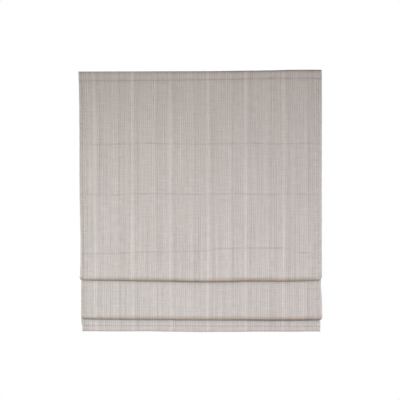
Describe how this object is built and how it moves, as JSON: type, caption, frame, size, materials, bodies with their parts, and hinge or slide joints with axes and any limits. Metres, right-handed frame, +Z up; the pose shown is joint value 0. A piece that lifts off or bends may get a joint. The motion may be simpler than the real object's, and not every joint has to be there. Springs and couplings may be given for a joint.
{
  "type": "roman blind",
  "caption": "Roman blind of finely striped woven cloth, partly raised into two soft folds above a weighted hem, hung from a timber batten by a hook-and-loop heading.",
  "frame": {"origin": "middle of the batten's top face, midway between its two fixing screws", "axes": "+X across the blind to the right as seen from the room, +Y back towards the window, +Z up"},
  "size_m": [1, 0.0644, 1.083],
  "materials": {
    "striped_cloth": "plain weave with fine stripes",
    "timber": "planed, unfinished",
    "hook_tape_nylon": "matte nylon hooks",
    "loop_tape_nylon": "matte nylon loops",
    "pocket_tape": "matte woven tape",
    "rod_white": "pultruded glass fibre",
    "clear_white_plastic": "moulded",
    "ring_plastic": "moulded",
    "plated_wire": "zinc plated",
    "bar_metal": "mill finish"
  },
  "bodies": {
    "root": {"batten": "timber", "hook_tape": "hook_tape_nylon", "loop_tape": "loop_tape_nylon", "blind_cloth": "striped_cloth", "screw_eyes": "plated_wire", "bottom_bar": "bar_metal", "bottom_bar_end_caps": "clear_white_plastic", "rod_pocket_1": "pocket_tape", "rod_1": "rod_white", "rod_end_plugs_1": "clear_white_plastic", "cord_rings_1": "ring_plastic", "rod_pocket_2": "pocket_tape", "rod_2": "rod_white", "rod_end_plugs_2": "clear_white_plastic", "cord_rings_2": "ring_plastic", "rod_pocket_3": "pocket_tape", "rod_3": "rod_white", "rod_end_plugs_3": "clear_white_plastic", "cord_rings_3": "ring_plastic", "rod_pocket_4": "pocket_tape", "rod_4": "rod_white", "rod_end_plugs_4": "clear_white_plastic", "cord_rings_4": "ring_plastic", "rod_pocket_5": "pocket_tape", "rod_5": "rod_white", "rod_end_plugs_5": "clear_white_plastic", "cord_rings_5": "ring_plastic"}
  },
  "joints": []
}
